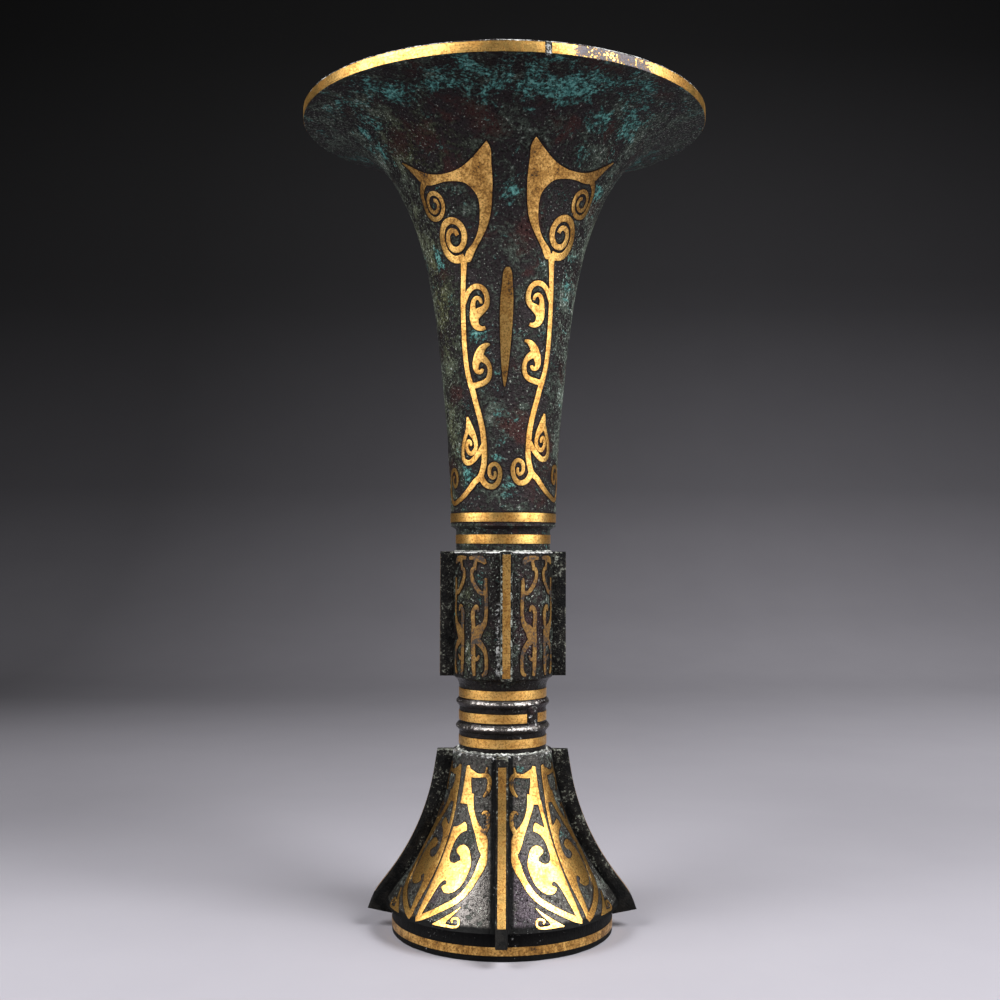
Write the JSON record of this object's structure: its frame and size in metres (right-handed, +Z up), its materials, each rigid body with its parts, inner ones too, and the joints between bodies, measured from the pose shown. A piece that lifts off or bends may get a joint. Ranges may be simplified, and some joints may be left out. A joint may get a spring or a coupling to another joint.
{
  "type": "bronze gu vessel",
  "caption": "Tall bronze drinking vessel of gu form: flaring trumpet mouth, flanged knop, ringed neck and spreading flanged foot, with gold inlay.",
  "frame": {"origin": "centre of the base ring's underside", "axes": "+Z up along the vessel's axis, front towards -Y"},
  "size_m": [0.149, 0.149, 0.3],
  "materials": {
    "bronze": "dark patinated cast bronze with verdigris and brown patches",
    "gold": "worn brushed gold sheet, flush with the bronze",
    "solder": "dull grey corroded solder"
  },
  "bodies": {
    "root": {"base_band": "gold", "beaker": "bronze", "foot": "bronze", "foot_flange_back": "bronze", "foot_flange_front": "bronze", "foot_flange_left": "bronze", "foot_flange_right": "bronze", "foot_flange_strip_back": "gold", "foot_flange_strip_front": "gold", "foot_flange_strip_left": "gold", "foot_flange_strip_right": "gold", "foot_inlay_back_left_left": "gold", "foot_inlay_back_left_right": "gold", "foot_inlay_back_right_left": "gold", "foot_inlay_back_right_right": "gold", "foot_inlay_front_left_left": "gold", "foot_inlay_front_left_right": "gold", "foot_inlay_front_right_left": "gold", "foot_inlay_front_right_right": "gold", "foot_solder_bead": "solder", "foot_wave_back_left_left": "gold", "foot_wave_back_left_right": "gold", "foot_wave_back_right_left": "gold", "foot_wave_back_right_right": "gold", "foot_wave_front_left_left": "gold", "foot_wave_front_left_right": "gold", "foot_wave_front_right_left": "gold", "foot_wave_front_right_right": "gold", "knop": "bronze", "knop_flange_back": "bronze", "knop_flange_front": "bronze", "knop_flange_left": "bronze", "knop_flange_right": "bronze", "knop_flange_strip_back": "gold", "knop_flange_strip_front": "gold", "knop_flange_strip_left": "gold", "knop_flange_strip_right": "gold", "knop_inlay_back_left_left": "gold", "knop_inlay_back_left_right": "gold", "knop_inlay_back_right_left": "gold", "knop_inlay_back_right_right": "gold", "knop_inlay_front_left_left": "gold", "knop_inlay_front_left_right": "gold", "knop_inlay_front_right_left": "gold", "knop_inlay_front_right_right": "gold", "knop_solder_bead": "solder", "leaf_scroll_back_left": "gold", "leaf_scroll_back_right": "gold", "leaf_scroll_front_left": "gold", "leaf_scroll_front_right": "gold", "leaf_spine_back": "gold", "leaf_spine_front": "gold", "neck_band": "gold", "rim_band": "gold", "ring_band_lower": "gold", "ring_band_middle": "gold", "ring_band_upper": "gold", "trumpet_foot_band": "gold"}
  },
  "joints": []
}
